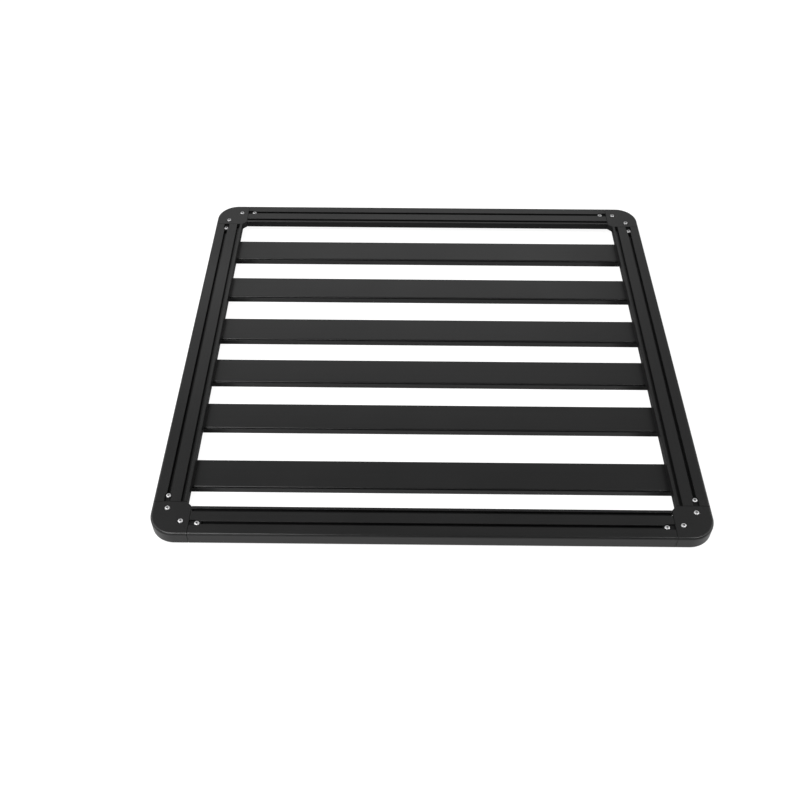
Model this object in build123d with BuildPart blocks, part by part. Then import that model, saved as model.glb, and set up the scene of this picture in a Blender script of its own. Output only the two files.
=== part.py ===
"""Flat platform roof rack: four slotted perimeter rails, four corner castings and six adjustable slats.

Frame: origin at the centre of the footprint, on the plane of the slats' undersides.
+X points to the rack's right, +Y to its rear, +Z up. Lengths are in millimetres.
"""
from build123d import *
import os

# Overall plan
rack_width = 1250.0
rack_length = 1200.0

# Perimeter rail extrusion: a hollow box on the outside and a shallower flange on the inside
rail_height = 33.0
rail_box_width = 58.0
rail_flange_width = 19.0
rail_flange_height = 18.0
rail_wall = 2.5
rail_outer_edge_radius = 5.5
rail_inner_edge_radius = 1.0
rail_bottom_edge_radius = 2.0

# Tee slots: the outer one set in from the outer edge, the others set off from the box's inner side
tee_slot_opening = 8.4
tee_slot_edge_radius = 0.5
outer_slot_inset = 31.5
outer_channel_width = 16.4
outer_channel_depth = 7.0
outer_slot_lip = 3.5
outer_channel_wall = 2.2
inner_slot_offset = 8.1
inner_channel_width = 14.4
inner_channel_depth = 5.5
inner_slot_lip = 3.5
clamp_slot_offset = 9.5
clamp_channel_width = 14.0
clamp_channel_depth = 4.5
clamp_slot_lip = 2.5

# Notch at each end of a rail's outer slot, rounded about the screw whose head drops in
notch_width = 14.5

# Corner castings
corner_radius = 58.0
casting_wall = 4.0
casting_web_radius = 12.0
casting_flange_chamfer = 11.5
casting_rib_thickness = 3.0
casting_rib_recess = 3.0
casting_rib_angles = (18.0, 45.0, 72.0)
joint_gap = 1.0

# Joining plates: an angle plate under each casting with a leg in each rail's outer slot
plate_thickness = 6.0
plate_side_clearance = 0.4
plate_clearance = 0.2
plate_leg_past_screw = 9.0
plate_elbow_width = 25.0
plate_elbow_corner = 10.0
plate_shoulder_setback = 1.5

# Screws of the corner joints, set back from the seam to either side
casting_screw_inset = 35.5
casting_screw_setback = 18.0
rail_screw_setback = 18.5
screw_thread_radius = 3.0
screw_clearance_radius = 3.3
screw_head_pocket_radius = 7.6
screw_head_pocket_depth = 1.6

# Slat extrusion
slat_width = 80.0
slat_height = 20.0
slat_wall = 2.0
slat_edge_radius = 3.0
slat_foot_radius = 1.0
slat_groove_height = 2.7
slat_groove_depth = 3.5
slat_groove_drop = 2.2
slat_lip_radius = 1.0
slat_channel_width = 16.4
slat_channel_depth = 7.0
slat_slot_lip = 2.5
slat_end_clearance = 1.2

# Slats from the front one to the rear one, and each one's share of the way between those two
front_slat_inset = 185.0
rear_slat_inset = 188.0
slat_spread = (0.0, 0.218, 0.406, 0.595, 0.8, 1.0)

# Slat fixings: one bolt up through each slat end into a tee nut in the rail's clamp slot
slat_bolt_clearance_radius = 4.3
tee_nut_length = 22.0
tee_nut_thickness = 4.0
tee_nut_side_clearance = 0.4
tee_nut_thread_radius = 4.0

# Places along and across the rails, worked out from the sizes above
rail_width = rail_box_width + rail_flange_width
inner_slot_inset = rail_box_width + inner_slot_offset
clamp_slot_inset = rail_box_width + clamp_slot_offset
corner_length = rail_width + casting_flange_chamfer
casting_screw_distance = corner_length - casting_screw_setback
rail_screw_distance = corner_length + rail_screw_setback
plate_leg_reach = rail_screw_distance + plate_leg_past_screw
# The castings' hollows run out past their seams, and keep the wall's thickness behind the chamfer
pocket_end = corner_length + casting_wall
casting_hollow_chamfer = casting_flange_chamfer + casting_wall * (2 + 2**0.5)

# Heights
flange_underside = slat_height
rack_top = flange_underside + rail_flange_height
rail_bottom = rack_top - rail_height
outer_channel_floor = rack_top - outer_slot_lip - outer_channel_depth
plate_top = outer_channel_floor + plate_thickness
casting_top_underside = plate_top + plate_clearance
clamp_channel_floor = flange_underside + clamp_slot_lip

# Plan directions of the four sides: name, inward direction, middle of the outer edge
half_width = rack_width / 2
half_length = rack_length / 2
SIDES = {
    "front": (Vector(0, 1, 0), Vector(0, -half_length, 0), rack_width),
    "rear": (Vector(0, -1, 0), Vector(0, half_length, 0), rack_width),
    "left": (Vector(1, 0, 0), Vector(-half_width, 0, 0), rack_length),
    "right": (Vector(-1, 0, 0), Vector(half_width, 0, 0), rack_length),
}
# Corner points and the plan direction of the edge that leads off anticlockwise
CORNERS = {
    "front_left": (Vector(-half_width, -half_length, 0), Vector(1, 0, 0)),
    "front_right": (Vector(half_width, -half_length, 0), Vector(0, 1, 0)),
    "rear_right": (Vector(half_width, half_length, 0), Vector(-1, 0, 0)),
    "rear_left": (Vector(-half_width, half_length, 0), Vector(0, -1, 0)),
}
UP = Vector(0, 0, 1)
CORNER_ALIGN = (Align.MIN, Align.MIN)
FLOOR_ALIGN = (Align.CENTER, Align.MIN)


def section_plane(side: str) -> Plane:
    """Upright plane across a rail at its middle: x inward from the outer edge, y up from its bottom."""
    inward, edge_middle, _ = SIDES[side]
    return Plane(edge_middle + UP * rail_bottom, x_dir=inward, z_dir=inward.cross(UP))


def plan_plane(side: str, height: float) -> Plane:
    """Level plane over a rail: x along the rail from its middle, y inward from the outer edge."""
    inward, edge_middle, _ = SIDES[side]
    return Plane(edge_middle + UP * height, x_dir=inward.cross(UP), z_dir=UP)


def corner_plane(corner: str, height: float) -> Plane:
    """Level plane at a corner of the rack, with both axes running inward along the two edges."""
    point, along = CORNERS[corner]
    return Plane(point + UP * height, x_dir=along, z_dir=UP)


def finish(builder: BuildPart, label: str) -> None:
    """Label a finished piece and write its STEP file."""
    builder.part.label = label
    export_step(builder.part, f"parts/{label}.step")


def rail_section(side: str) -> Sketch:
    """Section of a rail: outer box, inner flange, the box's hollow and three tee slots."""
    flange_base = rail_height - rail_flange_height
    outer_floor = rail_height - outer_slot_lip - outer_channel_depth
    inner_floor = rail_height - inner_slot_lip - inner_channel_depth
    channel_half = outer_channel_width / 2 + outer_channel_wall
    hollow_height = rail_height - 2 * rail_wall
    lower_hollow = (rail_box_width - 2 * rail_wall, outer_floor - 2 * rail_wall)
    outer_hollow = outer_slot_inset - channel_half - rail_wall
    inner_hollow = rail_box_width - rail_wall - outer_slot_inset - channel_half
    with BuildSketch(section_plane(side)) as section:
        Rectangle(rail_box_width, rail_height, align=CORNER_ALIGN)
        with Locations((0, flange_base)):
            Rectangle(rail_width, rail_flange_height, align=CORNER_ALIGN)
        fillet(section.vertices().group_by(Axis.Y)[-1].sort_by(Axis.X)[0], rail_outer_edge_radius)
        fillet(section.vertices().group_by(Axis.Y)[-1].sort_by(Axis.X)[-1], rail_inner_edge_radius)
        fillet(section.vertices().group_by(Axis.Y)[0], rail_bottom_edge_radius)
        # Hollow of the box, wrapped round the outer slot's channel
        with Locations((rail_wall, rail_wall)):
            Rectangle(*lower_hollow, align=CORNER_ALIGN, mode=Mode.SUBTRACT)
            Rectangle(outer_hollow, hollow_height, align=CORNER_ALIGN, mode=Mode.SUBTRACT)
        with Locations((rail_box_width - rail_wall, rail_wall)):
            Rectangle(inner_hollow, hollow_height, align=(Align.MAX, Align.MIN), mode=Mode.SUBTRACT)
        hollow_corner = section.vertices().sort_by_distance((rail_wall, rail_height - rail_wall))[0]
        fillet(hollow_corner, rail_outer_edge_radius - rail_wall)
        # Outer and inner slots open on top with eased edges, the clamp slot opens under the flange
        with Locations((outer_slot_inset, outer_floor)):
            Rectangle(outer_channel_width, outer_channel_depth, align=FLOOR_ALIGN, mode=Mode.SUBTRACT)
            Rectangle(tee_slot_opening, rail_height - outer_floor, align=FLOOR_ALIGN, mode=Mode.SUBTRACT)
        with Locations((inner_slot_inset, inner_floor)):
            Rectangle(inner_channel_width, inner_channel_depth, align=FLOOR_ALIGN, mode=Mode.SUBTRACT)
            Rectangle(tee_slot_opening, rail_height - inner_floor, align=FLOOR_ALIGN, mode=Mode.SUBTRACT)
        slot_edges = section.vertices().group_by(Axis.Y)[-1].sort_by(Axis.X)[1:-1]
        fillet(slot_edges, tee_slot_edge_radius)
        with Locations((clamp_slot_inset, flange_base)):
            Rectangle(tee_slot_opening, clamp_slot_lip, align=FLOOR_ALIGN, mode=Mode.SUBTRACT)
        with Locations((clamp_slot_inset, flange_base + clamp_slot_lip)):
            Rectangle(clamp_channel_width, clamp_channel_depth, align=FLOOR_ALIGN, mode=Mode.SUBTRACT)
    return section.sketch


def make_rail(side: str) -> None:
    """Make one perimeter rail, notched at both ends of its outer slot for the joint screws."""
    run = SIDES[side][2]
    rail_length = run - 2 * (corner_length + joint_gap)
    screw_offset = run / 2 - rail_screw_distance
    # The notch starts round the screw and runs out square through the end of the rail
    notch_start = screw_offset - notch_width / 2
    notch_length = rail_length / 2 - notch_start + notch_width
    notch_middle = notch_start + notch_length / 2
    with BuildPart() as rail:
        extrude(rail_section(side), amount=rail_length / 2, both=True)
        with BuildSketch(plan_plane(side, rack_top)):
            with Locations((notch_middle, outer_slot_inset), (-notch_middle, outer_slot_inset)):
                SlotOverall(notch_length, notch_width)
        extrude(amount=-outer_slot_lip, mode=Mode.SUBTRACT)
        with BuildSketch(plan_plane(side, outer_channel_floor)):
            with Locations((screw_offset, outer_slot_inset), (-screw_offset, outer_slot_inset)):
                Circle(screw_thread_radius)
        extrude(amount=-rail_wall, mode=Mode.SUBTRACT)
    finish(rail, f"{side}_rail")


def angle_plan(plane: Plane, band: tuple[float, float], end: float, radii: tuple[float, float]) -> Sketch:
    """Plan of a right angle along two edges of the rack, with its outer and inner corners rounded."""
    near, far = band
    outer_radius, inner_radius = radii
    with BuildSketch(plane) as plan:
        with BuildLine():
            Polyline((near, near), (end, near), (end, far), (far, far), (far, end), (near, end), close=True)
        make_face()
        diagonal = plan.vertices().sort_by(lambda vertex: abs(vertex.X - vertex.Y))[0:2]
        fillet(diagonal.sort_by(Axis.X)[-1], inner_radius)
        fillet(plan.vertices().sort_by(lambda vertex: vertex.X + vertex.Y)[0], outer_radius)
    return plan.sketch


def chamfered_plan(plane: Plane, band: tuple[float, float], outer_radius: float, leg: float) -> Sketch:
    """Plan of a square in a corner of the rack, its outer corner rounded and its inner one cut off."""
    near, far = band
    with BuildSketch(plane) as plan:
        with Locations((near, near)):
            Rectangle(far - near, far - near, align=CORNER_ALIGN)
        chamfer(plan.vertices().sort_by(lambda vertex: vertex.X + vertex.Y)[-1], leg)
        fillet(plan.vertices().sort_by(lambda vertex: vertex.X + vertex.Y)[0], outer_radius)
    return plan.sketch


def casting_pocket(plane: Plane, ribbed: bool) -> Sketch:
    """Plan of the hollow under a casting, set in by its wall and run out through both ends."""
    band = (casting_wall, rail_box_width - casting_wall)
    hollow = angle_plan(plane, band, pocket_end, (corner_radius - casting_wall, casting_web_radius))
    with BuildSketch(plane) as pocket:
        add(plane.to_local_coords(hollow))
        if ribbed:
            with Locations((rail_box_width, rail_box_width)):
                for angle in casting_rib_angles:
                    Rectangle(
                        2 * corner_length,
                        casting_rib_thickness,
                        rotation=180 + angle,
                        align=(Align.MIN, Align.CENTER),
                        mode=Mode.SUBTRACT,
                    )
    return pocket.sketch


def rim_side(base: Plane, edge: Edge) -> str:
    """Name the side of a casting that an edge of its rim runs along: a seam, the inside or the outside."""
    middle = base.to_local_coords(edge @ 0.5)
    if max(middle.X, middle.Y) > corner_length - joint_gap:
        return "seam"
    return "inside" if min(middle.X, middle.Y) > rail_box_width - casting_wall else "outside"


def make_casting(corner: str) -> None:
    """Make one corner casting: a rounded cap, open underneath, with ribs below the joining plate."""
    base = corner_plane(corner, rail_bottom)
    rib_foot = rail_bottom + casting_rib_recess
    rib_top = outer_channel_floor - plate_clearance
    flange_base = corner_plane(corner, flange_underside)
    box_radii = (corner_radius, casting_web_radius)
    box_plan = angle_plan(base, (0, rail_box_width), corner_length, box_radii)
    flange_plan = chamfered_plan(flange_base, (0, corner_length), corner_radius, casting_flange_chamfer)
    hollow_band = (rail_box_width, pocket_end)
    flange_hollow = chamfered_plan(flange_base, hollow_band, casting_web_radius, casting_hollow_chamfer)
    with BuildPart() as casting:
        extrude(box_plan, amount=rail_height)
        extrude(flange_plan, amount=rail_flange_height)
        # Rims rounded like the rails', but left square along the two seams
        for rim, side, radius in (
            (-1, "outside", rail_outer_edge_radius),
            (-1, "inside", rail_inner_edge_radius),
            (0, "outside", rail_bottom_edge_radius),
            (0, "inside", rail_bottom_edge_radius),
        ):
            rim_edges = casting.edges().group_by(Axis.Z)[rim]
            fillet([edge for edge in rim_edges if rim_side(base, edge) == side], radius)
        # Hollow underneath, with the ribs left standing
        extrude(casting_pocket(base, False), amount=casting_rib_recess, mode=Mode.SUBTRACT)
        ribbed = casting_pocket(corner_plane(corner, rib_foot), True)
        extrude(ribbed, amount=rib_top - rib_foot, mode=Mode.SUBTRACT)
        plate_space = casting_pocket(corner_plane(corner, rib_top), False)
        extrude(plate_space, amount=casting_top_underside - rib_top, mode=Mode.SUBTRACT)
        extrude(flange_hollow, amount=casting_top_underside - flange_underside, mode=Mode.SUBTRACT)
        with Locations(corner_plane(corner, rack_top)):
            with Locations(
                (casting_screw_inset, casting_screw_distance),
                (casting_screw_distance, casting_screw_inset),
            ):
                CounterBoreHole(screw_clearance_radius, screw_head_pocket_radius, screw_head_pocket_depth)
    finish(casting, f"{corner}_corner_casting")


def make_joining_plate(corner: str) -> None:
    """Make one angle plate: a wide elbow under the casting and a narrow leg in each rail's outer slot."""
    leg_width = outer_channel_width - 2 * plate_side_clearance
    near = outer_slot_inset - leg_width / 2
    far = outer_slot_inset + leg_width / 2
    elbow = near + plate_elbow_width
    shoulder = corner_length - plate_shoulder_setback
    with BuildPart() as plate:
        with BuildSketch(corner_plane(corner, outer_channel_floor)) as outline:
            with BuildLine():
                Polyline(
                    (near, near),
                    (plate_leg_reach, near),
                    (plate_leg_reach, far),
                    (shoulder, far),
                    (shoulder, elbow),
                    (elbow, elbow),
                    (elbow, shoulder),
                    (far, shoulder),
                    (far, plate_leg_reach),
                    (near, plate_leg_reach),
                    close=True,
                )
            make_face()
            outer_corner = outline.vertices().sort_by(lambda vertex: vertex.X + vertex.Y)[0]
            fillet(outer_corner, plate_elbow_corner)
            with Locations(
                (casting_screw_inset, casting_screw_distance),
                (casting_screw_distance, casting_screw_inset),
                (outer_slot_inset, rail_screw_distance),
                (rail_screw_distance, outer_slot_inset),
            ):
                Circle(screw_thread_radius, mode=Mode.SUBTRACT)
        extrude(amount=plate_thickness)
    finish(plate, f"{corner}_joining_plate")


def slat_section(centre: float) -> Sketch:
    """Section of a slat: grooved sides, three hollows between upright webs and a tee slot underneath."""
    groove_base = slat_height - slat_groove_drop - slat_groove_height
    groove_floor = slat_width / 2 - slat_groove_depth
    channel_roof = slat_slot_lip + slat_channel_depth
    hollow_start = slat_channel_width / 2 + slat_wall
    hollow_width = groove_floor - slat_wall - hollow_start
    hollow_middle = hollow_start + hollow_width / 2
    groove_middle = groove_floor + slat_groove_depth / 2
    with BuildSketch(Plane((0, centre, 0), x_dir=(0, 1, 0), z_dir=(1, 0, 0))) as section:
        Rectangle(slat_width, slat_height, align=FLOOR_ALIGN)
        fillet(section.vertices().group_by(Axis.Y)[-1], slat_edge_radius)
        fillet(section.vertices().group_by(Axis.Y)[0], slat_foot_radius)
        with Locations((groove_middle, groove_base), (-groove_middle, groove_base)):
            Rectangle(slat_groove_depth, slat_groove_height, align=FLOOR_ALIGN, mode=Mode.SUBTRACT)
        # The lips under the grooves are rounded
        lip_band = (groove_base - slat_lip_radius, groove_base + slat_lip_radius)
        lip_row = section.vertices().filter_by_position(Axis.Y, *lip_band).sort_by(Axis.X)
        fillet((lip_row[0], lip_row[-1]), slat_lip_radius)
        with Locations((hollow_middle, slat_wall), (-hollow_middle, slat_wall)):
            Rectangle(hollow_width, slat_height - 2 * slat_wall, align=FLOOR_ALIGN, mode=Mode.SUBTRACT)
        with Locations((0, channel_roof + slat_wall)):
            upper_height = slat_height - channel_roof - 2 * slat_wall
            Rectangle(slat_channel_width, upper_height, align=FLOOR_ALIGN, mode=Mode.SUBTRACT)
        Rectangle(tee_slot_opening, channel_roof, align=FLOOR_ALIGN, mode=Mode.SUBTRACT)
        with Locations((0, slat_slot_lip)):
            Rectangle(slat_channel_width, slat_channel_depth, align=FLOOR_ALIGN, mode=Mode.SUBTRACT)
    return section.sketch


def make_slat(number: int, centre: float) -> None:
    """Make one slat, which runs from rail to rail under the flanges, with a bolt hole at each end."""
    slat_length = rack_width - 2 * (rail_box_width + slat_end_clearance)
    bolt_offset = half_width - clamp_slot_inset
    with BuildPart() as slat:
        extrude(slat_section(centre), amount=slat_length / 2, both=True)
        with BuildSketch(Plane((0, centre, slat_height), x_dir=(1, 0, 0), z_dir=(0, 0, 1))):
            with Locations((bolt_offset, 0), (-bolt_offset, 0)):
                Circle(slat_bolt_clearance_radius)
        extrude(amount=-slat_height, mode=Mode.SUBTRACT)
    finish(slat, f"slat_{number}")


def make_tee_nut(number: int, centre: float, side: str) -> None:
    """Make the tee nut that holds one slat end, resting on the lips of the rail's clamp slot."""
    inward = SIDES[side][0]
    place = SIDES[side][1] + inward * clamp_slot_inset + Vector(0, centre, clamp_channel_floor)
    nut_width = clamp_channel_width - 2 * tee_nut_side_clearance
    with BuildPart() as nut:
        with BuildSketch(Plane(place)):
            Rectangle(nut_width, tee_nut_length)
            Circle(tee_nut_thread_radius, mode=Mode.SUBTRACT)
        extrude(amount=tee_nut_thickness)
    finish(nut, f"slat_{number}_{side}_tee_nut")


os.makedirs("parts", exist_ok=True)
for side_name in SIDES:
    make_rail(side_name)
for corner_name in CORNERS:
    make_casting(corner_name)
    make_joining_plate(corner_name)
slat_run = rack_length - front_slat_inset - rear_slat_inset
for slat_number, share in enumerate(slat_spread, start=1):
    slat_centre = front_slat_inset - half_length + share * slat_run
    make_slat(slat_number, slat_centre)
    for slat_end in ("left", "right"):
        make_tee_nut(slat_number, slat_centre, slat_end)
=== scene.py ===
"""Looks for a flat platform roof rack.

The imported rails, castings, slats, plates and nuts get their coats and platings, and the joint screws and
the slat bolts are added. Lengths are in metres in the part's frame: +X right, +Y rear, +Z up, resting on
z = 0. Sizes of the small fasteners are given in millimetres.
"""

import logging
import math
from dataclasses import dataclass
from enum import Enum
from typing import ClassVar

import bpy
import numpy as np
from mathutils import Matrix, Vector


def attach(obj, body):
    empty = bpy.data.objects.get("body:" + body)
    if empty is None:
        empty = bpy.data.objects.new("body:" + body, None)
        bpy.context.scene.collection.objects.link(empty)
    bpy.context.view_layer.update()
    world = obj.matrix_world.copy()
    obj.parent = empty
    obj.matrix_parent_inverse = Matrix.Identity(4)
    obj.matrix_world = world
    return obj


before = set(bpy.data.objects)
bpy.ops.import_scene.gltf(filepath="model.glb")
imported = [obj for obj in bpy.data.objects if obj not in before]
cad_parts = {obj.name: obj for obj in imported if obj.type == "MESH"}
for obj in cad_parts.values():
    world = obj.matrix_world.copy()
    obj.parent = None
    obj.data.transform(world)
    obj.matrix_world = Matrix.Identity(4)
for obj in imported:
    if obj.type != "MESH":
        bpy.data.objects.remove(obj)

MM = 0.001
BODY = "root"
SLAT_COUNT = 6
log = logging.getLogger("roof_rack")

Color = tuple[float, float, float]
Point = tuple[float, float, float]
Tones = tuple[tuple[float, float], ...]

DECK_MIDDLE: Point = (0.0, 0.0, 0.0)
DECK_FRONT: Point = (0.0, -0.1, 0.0)


class Run(Enum):
    """Which way an extrusion runs, as the turn in degrees that brings its length onto x."""

    ALONG_X = 0.0
    ALONG_Y = 90.0


class Corner(Enum):
    """The rack's corners, as the signs of x and y."""

    FRONT_LEFT = (-1, -1)
    FRONT_RIGHT = (1, -1)
    REAR_RIGHT = (1, 1)
    REAR_LEFT = (-1, 1)


class Wiring:
    """Short calls to place and join nodes in one node tree."""

    NOISE_RANGE: ClassVar[tuple[float, float]] = (0.3, 0.7)

    def __init__(self, tree: bpy.types.NodeTree) -> None:
        """Keep the tree that the nodes go into."""
        self.tree = tree

    def node(self, kind: str, **settings: object) -> bpy.types.Node:
        """Add one node.

        Args:
            kind: Blender's name for the node type.
            settings: properties of the node.

        Returns:
            The new node.
        """
        made = self.tree.nodes.new(kind)
        for name, value in settings.items():
            setattr(made, name, value)
        return made

    def feed(self, target: bpy.types.NodeSocket, source: object) -> None:
        """Link an output to an input, or set the input's plain value.

        Args:
            target: the input.
            source: an output, or the value to set.
        """
        if isinstance(source, bpy.types.NodeSocket):
            self.tree.links.new(source, target)
        else:
            target.default_value = source

    def math(self, operation: str, first: object, second: object) -> bpy.types.NodeSocket:
        """Add a Math node.

        Args:
            operation: the node's operation, such as MULTIPLY.
            first: a socket or number.
            second: a socket or number.

        Returns:
            The node's result.
        """
        made = self.node("ShaderNodeMath", operation=operation)
        self.feed(made.inputs[0], first)
        self.feed(made.inputs[1], second)
        return made.outputs[0]

    def noise(self, vector: object, scale: float, detail: float) -> bpy.types.NodeSocket:
        """Add a noise texture.

        Args:
            vector: the coordinates it reads.
            scale: how many features lie in a unit of length.
            detail: how many finer layers it has.

        Returns:
            The noise, a value about one half.
        """
        made = self.node("ShaderNodeTexNoise")
        self.feed(made.inputs["Vector"], vector)
        self.feed(made.inputs["Scale"], scale)
        self.feed(made.inputs["Detail"], detail)
        return made.outputs["Fac"]

    def spread(self, value: object, low: object, high: object) -> bpy.types.NodeSocket:
        """Stretch the middle of a noise onto a range.

        Args:
            value: the noise.
            low: what its lower values become.
            high: what its upper values become.

        Returns:
            The stretched value, held within the range.
        """
        made = self.node("ShaderNodeMapRange")
        self.feed(made.inputs["Value"], value)
        self.feed(made.inputs["From Min"], self.NOISE_RANGE[0])
        self.feed(made.inputs["From Max"], self.NOISE_RANGE[1])
        self.feed(made.inputs["To Min"], low)
        self.feed(made.inputs["To Max"], high)
        return made.outputs["Result"]

    def blend(self, factor: object, first: Color, second: Color) -> bpy.types.NodeSocket:
        """Mix two colours.

        Args:
            factor: 0 for the first colour, 1 for the second.
            first: a linear colour.
            second: a linear colour.

        Returns:
            The mixed colour.
        """
        made = self.node("ShaderNodeMix", data_type="RGBA")
        self.feed(made.inputs["Factor"], factor)
        self.feed(made.inputs["A"], (*first, 1.0))
        self.feed(made.inputs["B"], (*second, 1.0))
        return made.outputs["Result"]

    def effect(self, group: bpy.types.NodeTree, **values: object) -> bpy.types.Node:
        """Place a shared effect and feed its inputs.

        Args:
            group: the effect's node group.
            values: each input's value or source, under its name.

        Returns:
            The group node.
        """
        made = self.node("ShaderNodeGroup", node_tree=group)
        for name, source in values.items():
            self.feed(made.inputs[name], source)
        return made


class Effects:
    """The surface effects that several finishes share, each a node group that is built once.

    The scales count features in a metre.
    """

    TOOTH_SCALE: ClassVar[float] = 1300.0
    RIPPLE_SCALE: ClassVar[float] = 260.0
    DRIFT_SCALE: ClassVar[float] = 4.0
    LINE_SCALE: ClassVar[Point] = (0.7, 420.0, 420.0)
    PATCH_SCALE: ClassVar[float] = 14.0
    MOTE_SCALE: ClassVar[float] = 900.0
    _made: ClassVar[dict[str, bpy.types.NodeTree]] = {}

    @classmethod
    def _group(cls, name: str, inputs: tuple[str, ...], outputs: tuple[str, ...]) -> Wiring:
        """Start a node group that reads coordinates.

        Args:
            name: the group's name.
            inputs: the names of its value inputs.
            outputs: the names of its value outputs.

        Returns:
            The wiring of the new group.
        """
        tree = bpy.data.node_groups.new(name, "ShaderNodeTree")
        tree.interface.new_socket(name="Vector", in_out="INPUT", socket_type="NodeSocketVector")
        for label in inputs:
            tree.interface.new_socket(name=label, in_out="INPUT", socket_type="NodeSocketFloat")
        for label in outputs:
            tree.interface.new_socket(name=label, in_out="OUTPUT", socket_type="NodeSocketFloat")
        cls._made[name] = tree
        return Wiring(tree)

    @classmethod
    def powder_grain(cls) -> bpy.types.NodeTree:
        """Cured powder: a fine tooth, the broader ripple it flows out to, and a slow drift of gloss.

        Returns:
            The group, with inputs Tooth and Ripple in metres and outputs Height, Tone and Gloss.
        """
        name = "powder_grain"
        if name not in cls._made:
            wiring = cls._group(name, ("Tooth", "Ripple"), ("Height", "Tone", "Gloss"))
            entry = wiring.node("NodeGroupInput")
            leave = wiring.node("NodeGroupOutput")
            vector = entry.outputs["Vector"]
            tooth = wiring.noise(vector, cls.TOOTH_SCALE, 2.0)
            ripple = wiring.noise(vector, cls.RIPPLE_SCALE, 1.0)
            drift = wiring.noise(vector, cls.DRIFT_SCALE, 3.0)
            tooth_height = wiring.math("MULTIPLY", tooth, entry.outputs["Tooth"])
            ripple_height = wiring.math("MULTIPLY", ripple, entry.outputs["Ripple"])
            wiring.feed(leave.inputs["Height"], wiring.math("ADD", tooth_height, ripple_height))
            wiring.feed(leave.inputs["Tone"], wiring.spread(tooth, 0.0, 1.0))
            wiring.feed(leave.inputs["Gloss"], wiring.spread(drift, 0.0, 1.0))
        return cls._made[name]

    @classmethod
    def drawing_lines(cls) -> bpy.types.NodeTree:
        """Faint lines that an extrusion die leaves along the length, which the coat only half hides.

        Returns:
            The group, with the input Depth in metres and outputs Height and Tone. Its x runs along the
            length.
        """
        name = "drawing_lines"
        if name not in cls._made:
            wiring = cls._group(name, ("Depth",), ("Height", "Tone"))
            entry = wiring.node("NodeGroupInput")
            leave = wiring.node("NodeGroupOutput")
            drawn = wiring.node("ShaderNodeVectorMath", operation="MULTIPLY")
            wiring.feed(drawn.inputs[0], entry.outputs["Vector"])
            wiring.feed(drawn.inputs[1], cls.LINE_SCALE)
            lines = wiring.noise(drawn.outputs["Vector"], 1.0, 2.0)
            wiring.feed(leave.inputs["Height"], wiring.math("MULTIPLY", lines, entry.outputs["Depth"]))
            wiring.feed(leave.inputs["Tone"], wiring.spread(lines, 0.0, 1.0))
        return cls._made[name]

    @classmethod
    def settled_dust(cls) -> bpy.types.NodeTree:
        """A trace of pale dust that gathers in patches on faces that look up.

        Returns:
            The group, with the input Amount and the output Cover.
        """
        name = "settled_dust"
        if name not in cls._made:
            wiring = cls._group(name, ("Amount",), ("Cover",))
            entry = wiring.node("NodeGroupInput")
            leave = wiring.node("NodeGroupOutput")
            vector = entry.outputs["Vector"]
            facing = wiring.node("ShaderNodeSeparateXYZ")
            wiring.feed(facing.inputs[0], wiring.node("ShaderNodeNewGeometry").outputs["Normal"])
            upward = wiring.math("MAXIMUM", facing.outputs["Z"], 0.0)
            patches = wiring.spread(wiring.noise(vector, cls.PATCH_SCALE, 4.0), 0.2, 1.0)
            motes = wiring.spread(wiring.noise(vector, cls.MOTE_SCALE, 1.0), 0.5, 1.0)
            cover = wiring.math("MULTIPLY", wiring.math("MULTIPLY", patches, motes), upward)
            wiring.feed(leave.inputs["Cover"], wiring.math("MULTIPLY", cover, entry.outputs["Amount"]))
        return cls._made[name]


class Finish:
    """Base of the finishes: each builds one material."""

    @staticmethod
    def start(name: str) -> tuple[bpy.types.Material, Wiring, bpy.types.Node]:
        """Begin a node material.

        Args:
            name: the material's name.

        Returns:
            The material, its wiring and its Principled shader, already joined to the output.
        """
        made = bpy.data.materials.new(name)
        made.use_nodes = True
        made.node_tree.nodes.clear()
        wiring = Wiring(made.node_tree)
        shader = wiring.node("ShaderNodeBsdfPrincipled")
        output = wiring.node("ShaderNodeOutputMaterial")
        wiring.feed(output.inputs["Surface"], shader.outputs["BSDF"])
        return made, wiring, shader

    @staticmethod
    def bump(wiring: Wiring, shader: bpy.types.Node, height: object) -> None:
        """Turn a height in metres into the shader's normal.

        Args:
            wiring: the material's wiring.
            shader: its Principled shader.
            height: the output that gives the height.
        """
        relief = wiring.node("ShaderNodeBump")
        wiring.feed(relief.inputs["Strength"], 1.0)
        wiring.feed(relief.inputs["Distance"], 1.0)
        wiring.feed(relief.inputs["Height"], height)
        wiring.feed(shader.inputs["Normal"], relief.outputs["Normal"])


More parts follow.
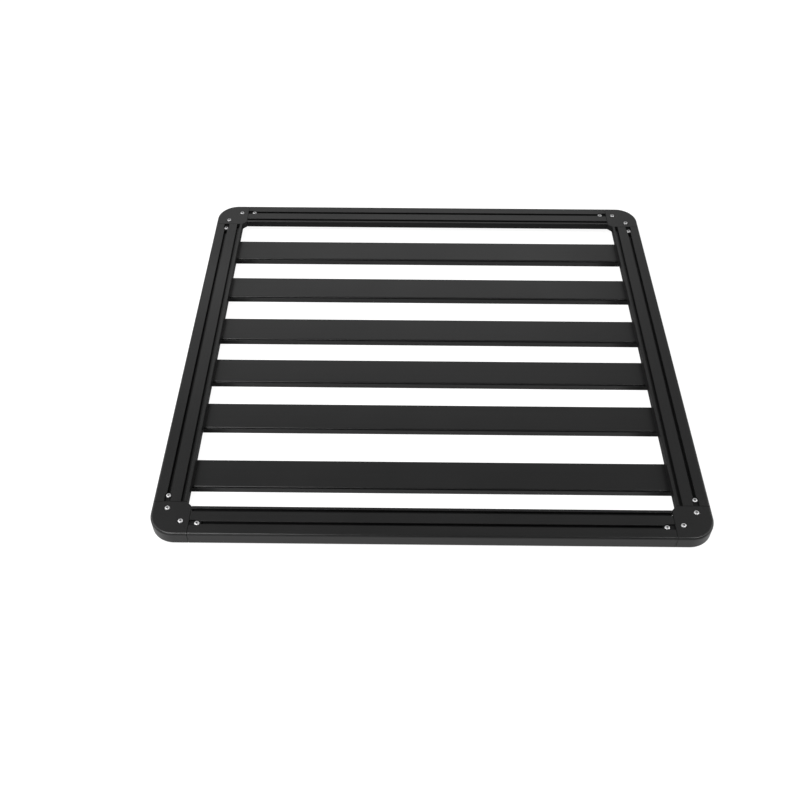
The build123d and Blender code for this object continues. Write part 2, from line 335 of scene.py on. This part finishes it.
@dataclass(frozen=True)
class PowderCoat(Finish):
    """Satin black powder coat, on an extrusion or on a casting."""

    name: str
    run: Run | None = None
    dark: Color = (0.0085, 0.0086, 0.0088)
    light: Color = (0.0125, 0.0126, 0.0126)
    dust: Color = (0.16, 0.155, 0.15)
    dust_amount: float = 0.012
    roughness: tuple[float, float] = (0.30, 0.36)
    tooth: float = 7.0e-6
    ripple: float = 9.0e-6
    lines: float = 4.0e-6

    def material(self) -> bpy.types.Material:
        """Build the coat: grain, drift of gloss, a trace of dust and, on an extrusion, drawing lines.

        Returns:
            The material.
        """
        made, wiring, shader = self.start(self.name)
        place = wiring.node("ShaderNodeTexCoord").outputs["Object"]
        grain = wiring.effect(Effects.powder_grain(), Vector=place, Tooth=self.tooth, Ripple=self.ripple)
        height = grain.outputs["Height"]
        tone = grain.outputs["Tone"]
        if self.run is not None:
            turned = wiring.node("ShaderNodeMapping")
            wiring.feed(turned.inputs["Vector"], place)
            wiring.feed(turned.inputs["Rotation"], (0.0, 0.0, math.radians(self.run.value)))
            drawn = wiring.effect(
                Effects.drawing_lines(), Vector=turned.outputs["Vector"], Depth=self.lines
            )
            height = wiring.math("ADD", height, drawn.outputs["Height"])
            tone = wiring.math("MULTIPLY", wiring.math("ADD", tone, drawn.outputs["Tone"]), 0.5)
        dust = wiring.effect(Effects.settled_dust(), Vector=place, Amount=self.dust_amount)
        coat = wiring.blend(tone, self.dark, self.light)
        dusted = wiring.node("ShaderNodeMix", data_type="RGBA")
        wiring.feed(dusted.inputs["Factor"], dust.outputs["Cover"])
        wiring.feed(dusted.inputs["A"], coat)
        wiring.feed(dusted.inputs["B"], (*self.dust, 1.0))
        wiring.feed(shader.inputs["Base Color"], dusted.outputs["Result"])
        smooth, dull = self.roughness
        drift = wiring.math("MULTIPLY", grain.outputs["Gloss"], dull - smooth)
        wiring.feed(shader.inputs["Roughness"], wiring.math("ADD", drift, smooth))
        self.bump(wiring, shader, height)
        return made


@dataclass(frozen=True)
class PhosphatedSteel(Finish):
    """Dull black phosphated sheet steel, whose crystals drink up most of the shine."""

    name: str
    dark: Color = (0.0045, 0.0045, 0.0048)
    light: Color = (0.011, 0.011, 0.0115)
    roughness: tuple[float, float] = (0.62, 0.8)
    mottle_scale: float = 180.0
    tooth: float = 4.0e-6
    ripple: float = 6.0e-6
    shine: float = 0.22

    def material(self) -> bpy.types.Material:
        """Build the coating.

        Returns:
            The material.
        """
        made, wiring, shader = self.start(self.name)
        place = wiring.node("ShaderNodeTexCoord").outputs["Object"]
        grain = wiring.effect(Effects.powder_grain(), Vector=place, Tooth=self.tooth, Ripple=self.ripple)
        mottle = wiring.spread(wiring.noise(place, self.mottle_scale, 3.0), 0.0, 1.0)
        wiring.feed(shader.inputs["Base Color"], wiring.blend(mottle, self.dark, self.light))
        wiring.feed(shader.inputs["Roughness"], wiring.spread(mottle, *self.roughness))
        wiring.feed(shader.inputs["Specular IOR Level"], self.shine)
        self.bump(wiring, shader, grain.outputs["Height"])
        return made


@dataclass(frozen=True)
class StainlessSteel(Finish):
    """Plain stainless steel with fine scuffs.

    A turned piece has rings round its axis and a socket painted dark, partly grime and partly painted
    shade.
    """

    name: str
    turned: bool = False
    dark: Color = (0.47, 0.47, 0.48)
    light: Color = (0.66, 0.66, 0.665)
    grime_and_shade: Color = (0.035, 0.034, 0.032)
    roughness: tuple[float, float] = (0.2, 0.34)
    mottle_scale: float = 700.0
    scuff_scale: float = 2600.0
    scuff_height: float = 2.0e-6
    rings_in_mm: float = 7.0
    ring_height: float = 3.0e-6
    grime_and_shade_cover: tuple[float, float] = (0.8, 1.0)
    grime_dulling: float = 0.3

    def material(self) -> bpy.types.Material:
        """Build the metal.

        Returns:
            The material.
        """
        made, wiring, shader = self.start(self.name)
        place = wiring.node("ShaderNodeTexCoord").outputs["Object"]
        mottle = wiring.spread(wiring.noise(place, self.mottle_scale, 3.0), 0.0, 1.0)
        scuffs = wiring.noise(place, self.scuff_scale, 2.0)
        metal = wiring.blend(mottle, self.dark, self.light)
        height = wiring.math("MULTIPLY", scuffs, self.scuff_height)
        gloss = wiring.spread(scuffs, *self.roughness)
        if self.turned:
            rings = wiring.node("ShaderNodeTexNoise", noise_dimensions="1D")
            reach = wiring.node("ShaderNodeAttribute", attribute_name=Fasteners.REACH)
            wiring.feed(rings.inputs["W"], wiring.math("MULTIPLY", reach.outputs["Fac"], self.rings_in_mm))
            wiring.feed(rings.inputs["Detail"], 2.0)
            cut = wiring.math("MULTIPLY", rings.outputs["Fac"], self.ring_height)
            height = wiring.math("ADD", height, cut)
            # The socket is painted dark: partly grime, partly painted shade in the recess.
            recess = wiring.node("ShaderNodeAttribute", attribute_name=Fasteners.RECESS).outputs["Fac"]
            socket_grime_and_shade = wiring.math("MULTIPLY", recess, wiring.spread(scuffs, *self.grime_and_shade_cover))
            socket_darkened = wiring.node("ShaderNodeMix", data_type="RGBA")
            wiring.feed(socket_darkened.inputs["Factor"], socket_grime_and_shade)
            wiring.feed(socket_darkened.inputs["A"], metal)
            wiring.feed(socket_darkened.inputs["B"], (*self.grime_and_shade, 1.0))
            metal = socket_darkened.outputs["Result"]
            gloss = wiring.math("ADD", gloss, wiring.math("MULTIPLY", socket_grime_and_shade, self.grime_dulling))
        wiring.feed(shader.inputs["Base Color"], metal)
        wiring.feed(shader.inputs["Roughness"], gloss)
        wiring.feed(shader.inputs["Metallic"], 1.0)
        self.bump(wiring, shader, height)
        return made


@dataclass(frozen=True)
class Dressing:
    """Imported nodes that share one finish."""

    nodes: tuple[str, ...]
    finish: PowderCoat | PhosphatedSteel | StainlessSteel

    def dress(self) -> None:
        """Put the finish into every node's material slots."""
        material = self.finish.material()
        for name in self.nodes:
            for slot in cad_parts[name].material_slots:
                slot.material = material
            log.info("dressed %s in %s", name, material.name)


@dataclass(frozen=True)
class ButtonScrew:
    """A button head screw with a hex socket, in millimetres, standing on z = 0 with its shank below.

    The shares are of the core's radius at the tip, of the pitch at the neck, of the head's radius and rim
    at the seat, of the socket's corner radius at the lip and of its flats in the socket.
    """

    thread_radius: float
    thread_depth: float
    pitch: float
    length: float
    head_radius: float
    head_height: float
    rim_height: float
    socket_flats: float
    socket_depth: float
    tip_shares: tuple[float, float] = (0.6, 0.92)
    neck_share: float = 0.6
    seat_share: float = 0.96
    seat_ease: float = 0.2
    lip_share: float = 1.12
    mouth_share: float = 1.04
    mouth_drops: tuple[float, float] = (0.05, 0.2)
    drill_shares: tuple[float, float] = (0.12, 0.2)
    columns: int = 48
    rows_in_pitch: int = 6
    dome_rows: int = 10

    def _profile(self) -> np.ndarray:
        """The outline from the tip, up the shank, over the dome and down into the socket.

        Returns:
            Rows of radius, height, how hexagonal the row is, how much thread it carries and whether it is
            in the socket.
        """
        core = self.thread_radius - self.thread_depth
        thread_low = -self.length + self.thread_depth
        thread_high = -self.pitch
        turns = round((thread_high - thread_low) / self.pitch * self.rows_in_pitch)
        climb = np.linspace(thread_low, thread_high, turns)
        still = np.zeros_like(climb)
        thread = np.stack([still + core, climb, still, still + 1.0, still], axis=1)
        lip = self.socket_flats / math.sqrt(3.0) * self.lip_share
        swing = np.linspace(0.0, 0.5 * math.pi, self.dome_rows)
        dome = np.stack(
            [
                lip + (self.head_radius - lip) * np.cos(swing),
                self.rim_height + (self.head_height - self.rim_height) * np.sin(swing),
                np.zeros_like(swing),
                np.zeros_like(swing),
                np.zeros_like(swing),
            ],
            axis=1,
        )
        flat = 0.5 * self.socket_flats
        floor = self.head_height - self.socket_depth
        plain = [
            (self.tip_shares[0] * core, -self.length, 0.0, 0.0, 0.0),
            (self.tip_shares[1] * core, -self.length, 0.0, 0.0, 0.0),
        ]
        collar = [
            (self.thread_radius, -self.neck_share * self.pitch, 0.0, 0.0, 0.0),
            (self.thread_radius, 0.0, 0.0, 0.0, 0.0),
            (self.seat_share * self.head_radius, 0.0, 0.0, 0.0, 0.0),
            (self.head_radius, self.seat_ease * self.rim_height, 0.0, 0.0, 0.0),
        ]
        socket = [
            (self.mouth_share * flat, self.head_height - self.mouth_drops[0], 1.0, 0.0, 0.0),
            (flat, self.head_height - self.mouth_drops[1], 1.0, 0.0, 1.0),
            (flat, floor, 1.0, 0.0, 1.0),
            (0.5 * flat, floor - self.drill_shares[0] * self.socket_flats, 0.5, 0.0, 1.0),
        ]
        return np.concatenate([plain, thread, collar, dome, socket])

    def surface(self) -> tuple[np.ndarray, np.ndarray, np.ndarray, np.ndarray]:
        """The whole screw as one closed grid of rows round its axis.

        A row's radius is constant, or is divided by the cosine of the angle from the nearest flat where
        the row is hexagonal. Thread adds a triangle wave of height over pitch less angle over one turn.

        Returns:
            Points in millimetres, quads, end triangles and, for each point, 1 in the socket or 0.
        """
        rows = self._profile()
        radius, height, hexness, threaded, sunk = (rows[:, k, None] for k in range(5))
        angle = np.linspace(0.0, 2.0 * math.pi, self.columns, endpoint=False)[None, :]
        sector = math.pi / 3.0
        from_flat = np.mod(angle, sector) - 0.5 * sector
        shape = 1.0 + hexness * (1.0 / np.cos(from_flat) - 1.0)
        phase = np.mod(height / self.pitch - angle / (2.0 * math.pi), 1.0)
        wave = 1.0 - np.abs(2.0 * phase - 1.0)
        reach = radius * shape + threaded * self.thread_depth * wave
        body = np.stack(
            [reach * np.cos(angle), reach * np.sin(angle), np.broadcast_to(height, reach.shape)], axis=2
        )
        tip = (0.0, 0.0, -self.length)
        floor = self.head_height - self.socket_depth
        pit = (0.0, 0.0, floor - self.drill_shares[1] * self.socket_flats)
        points = np.concatenate([body.reshape(-1, 3), [tip, pit]])
        recess = np.concatenate([np.broadcast_to(sunk, reach.shape).ravel(), [0.0, 1.0]])
        count = len(rows)
        index = np.arange(count * self.columns).reshape(count, self.columns)
        ahead = np.roll(index, -1, axis=1)
        quads = np.stack([index[:-1], ahead[:-1], ahead[1:], index[1:]], axis=2).reshape(-1, 4)
        tip_at = count * self.columns
        tip_fan = np.stack([np.full(self.columns, tip_at), ahead[0], index[0]], axis=1)
        pit_fan = np.stack([np.full(self.columns, tip_at + 1), index[-1], ahead[-1]], axis=1)
        return points, quads, np.concatenate([tip_fan, pit_fan]), recess


@dataclass(frozen=True)
class Fasteners:
    """A set of like screws in one piece."""

    REACH: ClassVar[str] = "reach"
    RECESS: ClassVar[str] = "recess"
    SPIN: ClassVar[tuple[float, float]] = (7.0, 3.0)
    SHARP_DEGREES: ClassVar[float] = 35.0

    name: str
    screw: ButtonScrew
    places: np.ndarray
    upward: bool
    slot: str
    finish: bpy.types.Material

    def build(self) -> bpy.types.Object:
        """Set a copy of the screw at every place, each turned by its own angle about its axis.

        Returns:
            The finished piece, riding on the rack.
        """
        points, quads, fans, recess = self.screw.surface()
        reach = np.hypot(points[:, 0], points[:, 1])
        if not self.upward:
            points = points * np.array([1.0, -1.0, -1.0])
        golden = math.pi * (3.0 - math.sqrt(5.0))
        turn = golden * np.arange(1, len(self.places) + 1)
        turn = turn + self.SPIN[0] * self.places[:, 0] + self.SPIN[1] * self.places[:, 1]
        cosine = np.cos(turn)[:, None]
        sine = np.sin(turn)[:, None]
        spun = np.stack(
            [
                points[None, :, 0] * cosine - points[None, :, 1] * sine,
                points[None, :, 0] * sine + points[None, :, 1] * cosine,
                np.broadcast_to(points[None, :, 2], (len(turn), len(points))),
            ],
            axis=2,
        )
        placed = (spun + self.places[:, None, :]) * MM
        step = len(points) * np.arange(len(self.places))[:, None, None]
        mesh = make_mesh(
            self.name,
            placed.reshape(-1, 3),
            (quads[None] + step).reshape(-1, 4),
            (fans[None] + step).reshape(-1, 3),
        )
        mesh.set_sharp_from_angle(angle=math.radians(self.SHARP_DEGREES))
        for label, values in ((self.REACH, reach), (self.RECESS, recess)):
            layer = mesh.attributes.new(label, "FLOAT", "POINT")
            layer.data.foreach_set("value", np.tile(values, len(self.places)).astype(np.float32))
        piece = bpy.data.objects.new(self.name, mesh)
        bpy.context.scene.collection.objects.link(piece)
        mesh.materials.append(self.finish)
        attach(piece, BODY)
        log.info("built %s: %d screws, %d faces", self.name, len(self.places), len(mesh.polygons))
        return piece


def make_mesh(name: str, points: np.ndarray, quads: np.ndarray, triangles: np.ndarray) -> bpy.types.Mesh:
    """Put whole arrays of points and faces into a smooth mesh.

    Args:
        name: the mesh's name.
        points: one row of x, y, z for each vertex.
        quads: vertex numbers of the four-sided faces.
        triangles: vertex numbers of the three-sided faces.

    Returns:
        The mesh.
    """
    mesh = bpy.data.meshes.new(name)
    corners = np.concatenate([quads.ravel(), triangles.ravel()]).astype(np.int32)
    sizes = np.concatenate([np.full(len(quads), 4), np.full(len(triangles), 3)]).astype(np.int32)
    starts = np.concatenate([[0], np.cumsum(sizes)[:-1]]).astype(np.int32)
    mesh.vertices.add(len(points))
    mesh.vertices.foreach_set("co", points.astype(np.float32).ravel())
    mesh.loops.add(len(corners))
    mesh.loops.foreach_set("vertex_index", corners)
    mesh.polygons.add(len(sizes))
    mesh.polygons.foreach_set("loop_start", starts)
    mesh.polygons.foreach_set("use_smooth", np.ones(len(sizes), dtype=bool))
    mesh.update(calc_edges=True)
    mesh.validate()
    return mesh


@dataclass(frozen=True)
class JointScrews:
    """Four screws at each corner.

    Two hold the casting to its joining plate, and two hold the plate to the rails.
    """

    half_width: float = 625.0
    half_length: float = 600.0
    casting_inset: float = 35.5
    casting_distance: float = 70.5
    casting_seat: float = 36.4
    rail_inset: float = 31.5
    rail_distance: float = 107.0
    rail_seat: float = 33.5

    def places(self, corner: Corner) -> np.ndarray:
        """Where one corner's screws stand.

        Args:
            corner: which corner.

        Returns:
            Rows of x, y and the height of the head's underside, in millimetres.
        """
        side, end = corner.value
        rows = [
            (self.casting_inset, self.casting_distance, self.casting_seat),
            (self.casting_distance, self.casting_inset, self.casting_seat),
            (self.rail_inset, self.rail_distance, self.rail_seat),
            (self.rail_distance, self.rail_inset, self.rail_seat),
        ]
        inset_x, inset_y, height = np.array(rows).T
        across = side * (self.half_width - inset_x)
        along = end * (self.half_length - inset_y)
        return np.stack([across, along, height], axis=1)

    def build(self, finish: bpy.types.Material) -> None:
        """Make one piece of four screws for each corner.

        Args:
            finish: the screws' material.
        """
        screw = ButtonScrew(
            thread_radius=2.95,
            thread_depth=0.55,
            pitch=1.0,
            length=12.0,
            head_radius=6.0,
            head_height=4.2,
            rim_height=1.9,
            socket_flats=4.0,
            socket_depth=2.0,
        )
        for corner in Corner:
            name = f"{corner.name.lower()}_joint_screws"
            Fasteners(name, screw, self.places(corner), True, "stainless", finish).build()


@dataclass(frozen=True)
class SlatBolts:
    """One bolt up through each slat end, its head in the slat's slot and its thread in the tee nut."""

    offset: float = 557.5
    seat: float = 9.5
    front: float = -415.0
    run: float = 827.0
    spread: tuple[float, ...] = (0.0, 0.218, 0.406, 0.595, 0.8, 1.0)

    def build(self, finish: bpy.types.Material) -> None:
        """Make one piece of bolts for each side of the rack.

        Args:
            finish: the bolts' material.
        """
        bolt = ButtonScrew(
            thread_radius=3.95,
            thread_depth=0.7,
            pitch=1.25,
            length=16.0,
            head_radius=7.0,
            head_height=4.3,
            rim_height=1.2,
            socket_flats=5.0,
            socket_depth=2.6,
        )
        along = self.front + self.run * np.array(self.spread)
        for name, side in (("left_slat_bolts", -1.0), ("right_slat_bolts", 1.0)):
            across = np.full_like(along, side * self.offset)
            places = np.stack([across, along, np.full_like(along, self.seat)], axis=1)
            Fasteners(name, bolt, places, False, "stainless", finish).build()


@dataclass(frozen=True)
class SoftBox:
    """A large soft lamp."""

    name: str
    place: Point
    aim: Point
    width: float
    height: float
    power: float

    def hang(self) -> None:
        """Add the lamp, turned to its aim."""
        data = bpy.data.lights.new(self.name, "AREA")
        data.shape = "RECTANGLE"
        data.size = self.width
        data.size_y = self.height
        data.energy = self.power
        lamp = bpy.data.objects.new(self.name, data)
        lamp.location = self.place
        lamp.rotation_euler = (Vector(self.aim) - Vector(self.place)).to_track_quat("-Z", "Y").to_euler()
        bpy.context.scene.collection.objects.link(lamp)


@dataclass(frozen=True)
class FloorPatch:
    """A soft-edged rectangle on the floor, centred across the rack."""

    centre: float
    half_width: float
    half_length: float
    edge: float

    def outside(self, wiring: Wiring) -> bpy.types.NodeSocket:
        """How far a spot of the floor lies out of the patch.

        The larger of |x| less the half width and |y| less the half length is stretched over a soft edge.

        Args:
            wiring: the floor material's wiring.

        Returns:
            0 in the patch, 1 well out of it.
        """
        split = wiring.node("ShaderNodeSeparateXYZ")
        wiring.feed(split.inputs[0], wiring.node("ShaderNodeTexCoord").outputs["Object"])
        across = wiring.math("ABSOLUTE", split.outputs["X"], 0.0)
        along = wiring.math("ABSOLUTE", wiring.math("SUBTRACT", split.outputs["Y"], self.centre), 0.0)
        out = wiring.math(
            "MAXIMUM",
            wiring.math("SUBTRACT", across, self.half_width),
            wiring.math("SUBTRACT", along, self.half_length),
        )
        soft = wiring.node("ShaderNodeMapRange", interpolation_type="SMOOTHSTEP")
        wiring.feed(soft.inputs["Value"], out)
        wiring.feed(soft.inputs["From Min"], -self.edge)
        wiring.feed(soft.inputs["From Max"], self.edge)
        return soft.outputs["Result"]


@dataclass(frozen=True)
class Studio:
    """A pale floor that keeps a soft shadow and carries a painted shadow of the rack in reflections, a
    room that is lighter at the rear, and soft lamps.
    """

    rear_room: Tones = ((0.0, 0.02), (0.35, 0.49), (0.59, 0.40), (0.82, 0.17), (1.0, 0.0))
    front_room: Tones = ((0.0, 0.74), (0.5, 0.0))
    room_turn: float = 0.15
    lamps: tuple[SoftBox, ...] = (
        SoftBox("key", (-1.7, -1.0, 2.5), DECK_FRONT, 0.9, 0.7, 22.0),
        SoftBox("key_inner", (-1.0, -0.9, 2.6), DECK_FRONT, 0.9, 0.7, 12.0),
        SoftBox("far_key", (1.8, -1.0, 2.5), DECK_FRONT, 0.9, 0.7, 22.0),
        SoftBox("front", (-1.6, -2.6, 2.6), DECK_FRONT, 1.6, 1.2, 24.0),
        SoftBox("left", (-3.0, 0.2, 1.5), DECK_MIDDLE, 2.6, 2.2, 26.0),
        SoftBox("right", (3.0, 0.2, 1.5), DECK_MIDDLE, 2.6, 2.2, 24.0),
        SoftBox("rear", (-0.3, 3.0, 2.3), DECK_MIDDLE, 3.2, 1.0, 6.4),
    )
    floor_reach: float = 9.0
    floor_drop: float = 0.0004
    floor_points: int = 3
    floor_tone: float = 0.3
    seen_glow: float = 0.92
    mirrored_glow: float = 0.49
    # shade and middle paint the rack's shadow into the glow that reflections see: none under the rails, a
    # share under the middle.
    shade: FloorPatch = FloorPatch(0.0, 0.575, 0.575, 0.04)
    middle: FloorPatch = FloorPatch(-0.03, 0.5, 0.47, 0.02)
    middle_share: float = 0.65

    def lay_floor(self) -> None:
        """Lay the floor, one flat grid, white to the eye and pale in reflections, with its shadow kept and
        a painted shadow of the rack in its reflected glow.

        It is clear from below, so that the underside can be looked at.
        """
        across = np.linspace(-self.floor_reach, self.floor_reach, self.floor_points)
        x, y = np.meshgrid(across, across)
        points = np.stack([x, y, np.full_like(x, -self.floor_drop)], axis=2).reshape(-1, 3)
        index = np.arange(self.floor_points**2).reshape(self.floor_points, self.floor_points)
        squares = np.stack([index[:-1, :-1], index[:-1, 1:], index[1:, 1:], index[1:, :-1]], axis=2)
        mesh = make_mesh("studio_floor", points, squares.reshape(-1, 4), np.zeros((0, 3), dtype=np.int32))
        material = bpy.data.materials.new("studio_floor")
        material.use_nodes = True
        material.node_tree.nodes.clear()
        wiring = Wiring(material.node_tree)
        paper = wiring.node("ShaderNodeBsdfDiffuse")
        wiring.feed(paper.inputs["Color"], (self.floor_tone, self.floor_tone, self.floor_tone, 1.0))
        rays = wiring.node("ShaderNodeLightPath")
        glossy = rays.outputs["Is Glossy Ray"]
        bounced = wiring.math("MAXIMUM", glossy, rays.outputs["Is Transmission Ray"])
        # Painted shadow: the reflected glow is put out under the rails and dimmed under the middle of the
        # rack.
        within = wiring.math("SUBTRACT", 1.0, self.middle.outside(wiring))
        inner = wiring.math("MULTIPLY", within, self.middle_share)
        open_floor = wiring.math("ADD", inner, self.shade.outside(wiring))
        lit = wiring.math("MULTIPLY", open_floor, self.mirrored_glow)
        mirrored = wiring.math("MULTIPLY", bounced, lit)
        seen = wiring.math("MULTIPLY", rays.outputs["Is Camera Ray"], self.seen_glow)
        glow = wiring.node("ShaderNodeEmission")
        wiring.feed(glow.inputs["Strength"], wiring.math("ADD", seen, mirrored))
        both = wiring.node("ShaderNodeAddShader")
        wiring.feed(both.inputs[0], paper.outputs["BSDF"])
        wiring.feed(both.inputs[1], glow.outputs["Emission"])
        sided = wiring.node("ShaderNodeMixShader")
        wiring.feed(sided.inputs[0], wiring.node("ShaderNodeNewGeometry").outputs["Backfacing"])
        wiring.feed(sided.inputs[1], both.outputs["Shader"])
        wiring.feed(sided.inputs[2], wiring.node("ShaderNodeBsdfTransparent").outputs["BSDF"])
        output = wiring.node("ShaderNodeOutputMaterial")
        wiring.feed(output.inputs["Surface"], sided.outputs["Shader"])
        mesh.materials.append(material)
        floor = bpy.data.objects.new("studio_floor", mesh)
        bpy.context.scene.collection.objects.link(floor)

    @staticmethod
    def _wall(wiring: Wiring, height: bpy.types.NodeSocket, tones: Tones) -> bpy.types.NodeSocket:
        """Tones of one side of the room.

        Args:
            wiring: the world's wiring.
            height: upward part of the direction.
            tones: pairs of height and tone, from the horizon up.

        Returns:
            The tone as a grey.
        """
        ramp = wiring.node("ShaderNodeValToRGB")
        wiring.feed(ramp.inputs["Fac"], height)
        stops = ramp.color_ramp.elements
        halfway = 0.5
        while len(stops) < len(tones):
            stops.new(halfway)
        for stop, (position, tone) in zip(stops, tones):
            stop.position = position
            stop.color = (tone, tone, tone, 1.0)
        return ramp.outputs["Color"]

    def light_room(self) -> None:
        """Give the room its tones by side and height, white where the eye sees it, and hang the lamps."""
        world = bpy.data.worlds.new("studio")
        bpy.context.scene.world = world
        world.use_nodes = True
        world.node_tree.nodes.clear()
        wiring = Wiring(world.node_tree)
        split = wiring.node("ShaderNodeSeparateXYZ")
        wiring.feed(split.inputs[0], wiring.node("ShaderNodeTexCoord").outputs["Generated"])
        turn = wiring.node("ShaderNodeMapRange", interpolation_type="SMOOTHSTEP")
        wiring.feed(turn.inputs["Value"], split.outputs["Y"])
        wiring.feed(turn.inputs["From Min"], -self.room_turn)
        wiring.feed(turn.inputs["From Max"], self.room_turn)
        walls = wiring.node("ShaderNodeMix", data_type="RGBA")
        wiring.feed(walls.inputs["Factor"], turn.outputs["Result"])
        wiring.feed(walls.inputs["A"], self._wall(wiring, split.outputs["Z"], self.front_room))
        wiring.feed(walls.inputs["B"], self._wall(wiring, split.outputs["Z"], self.rear_room))
        rays = wiring.node("ShaderNodeLightPath")
        shown = wiring.node("ShaderNodeMix", data_type="RGBA")
        wiring.feed(shown.inputs["Factor"], rays.outputs["Is Camera Ray"])
        wiring.feed(shown.inputs["A"], walls.outputs["Result"])
        wiring.feed(shown.inputs["B"], (1.0, 1.0, 1.0, 1.0))
        sky = wiring.node("ShaderNodeBackground")
        wiring.feed(sky.inputs["Color"], shown.outputs["Result"])
        output = wiring.node("ShaderNodeOutputWorld")
        wiring.feed(output.inputs["Surface"], sky.outputs["Background"])
        for lamp in self.lamps:
            lamp.hang()


@dataclass(frozen=True)
class PhotoCamera:
    """The viewpoint of the reference view, solved from the rack's own screws and edges."""

    position: Point = (-0.0611, -1.8061, 1.7775)
    elevation: float = 47.198
    azimuth: float = 0.446
    roll: float = 0.167
    lens: float = 43.29
    sensor: float = 36.0

    def place(self) -> None:
        """Add the camera: it looks back along its azimuth and down by its elevation, then rolls."""
        around = math.radians(self.azimuth)
        down = math.radians(self.elevation)
        back = Vector(
            (math.sin(around) * math.cos(down), -math.cos(around) * math.cos(down), math.sin(down))
        )
        level = Vector((0.0, 0.0, 1.0)).cross(back).normalized()
        upright = back.cross(level)
        lean = math.radians(self.roll)
        right = math.cos(lean) * level + math.sin(lean) * upright
        up = math.cos(lean) * upright - math.sin(lean) * level
        data = bpy.data.cameras.new("photo_camera")
        data.lens = self.lens
        data.sensor_width = self.sensor
        camera = bpy.data.objects.new("photo_camera", data)
        axes = Matrix((right, up, back)).transposed().to_4x4()
        camera.matrix_world = Matrix.Translation(self.position) @ axes
        bpy.context.scene.collection.objects.link(camera)
        bpy.context.scene.camera = camera


def dress_rack() -> None:
    """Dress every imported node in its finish."""
    corners = [corner.name.lower() for corner in Corner]
    slats = [f"slat_{number}" for number in range(1, SLAT_COUNT + 1)]
    sets = (
        Dressing(("front_rail", "rear_rail"), PowderCoat("rail_coat_across", Run.ALONG_X)),
        Dressing(("left_rail", "right_rail"), PowderCoat("rail_coat_lengthwise", Run.ALONG_Y)),
        Dressing(tuple(slats), PowderCoat("slat_coat", Run.ALONG_X)),
        Dressing(
            tuple(f"{corner}_corner_casting" for corner in corners),
            PowderCoat("casting_coat", tooth=9.0e-6, ripple=16.0e-6),
        ),
        Dressing(tuple(f"{corner}_joining_plate" for corner in corners), PhosphatedSteel("dark_plate")),
        Dressing(
            tuple(f"{slat}_{side}_tee_nut" for slat in slats for side in ("left", "right")),
            StainlessSteel("nut_steel"),
        ),
    )
    for dressing in sets:
        dressing.dress()


def main() -> None:
    """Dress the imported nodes, build the fasteners, then set up the studio and the camera."""
    logging.basicConfig(level=logging.INFO, format="%(name)s: %(message)s")
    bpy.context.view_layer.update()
    bpy.context.scene.view_settings.view_transform = "Standard"
    dress_rack()
    screw_steel = StainlessSteel(
        "screw_steel",
        turned=True,
        dark=(0.66, 0.66, 0.67),
        light=(0.82, 0.82, 0.825),
        roughness=(0.44, 0.56),
    ).material()
    JointScrews().build(screw_steel)
    SlatBolts().build(screw_steel)
    studio = Studio()
    studio.lay_floor()
    studio.light_room()
    PhotoCamera().place()


if __name__ == "__main__":
    main()
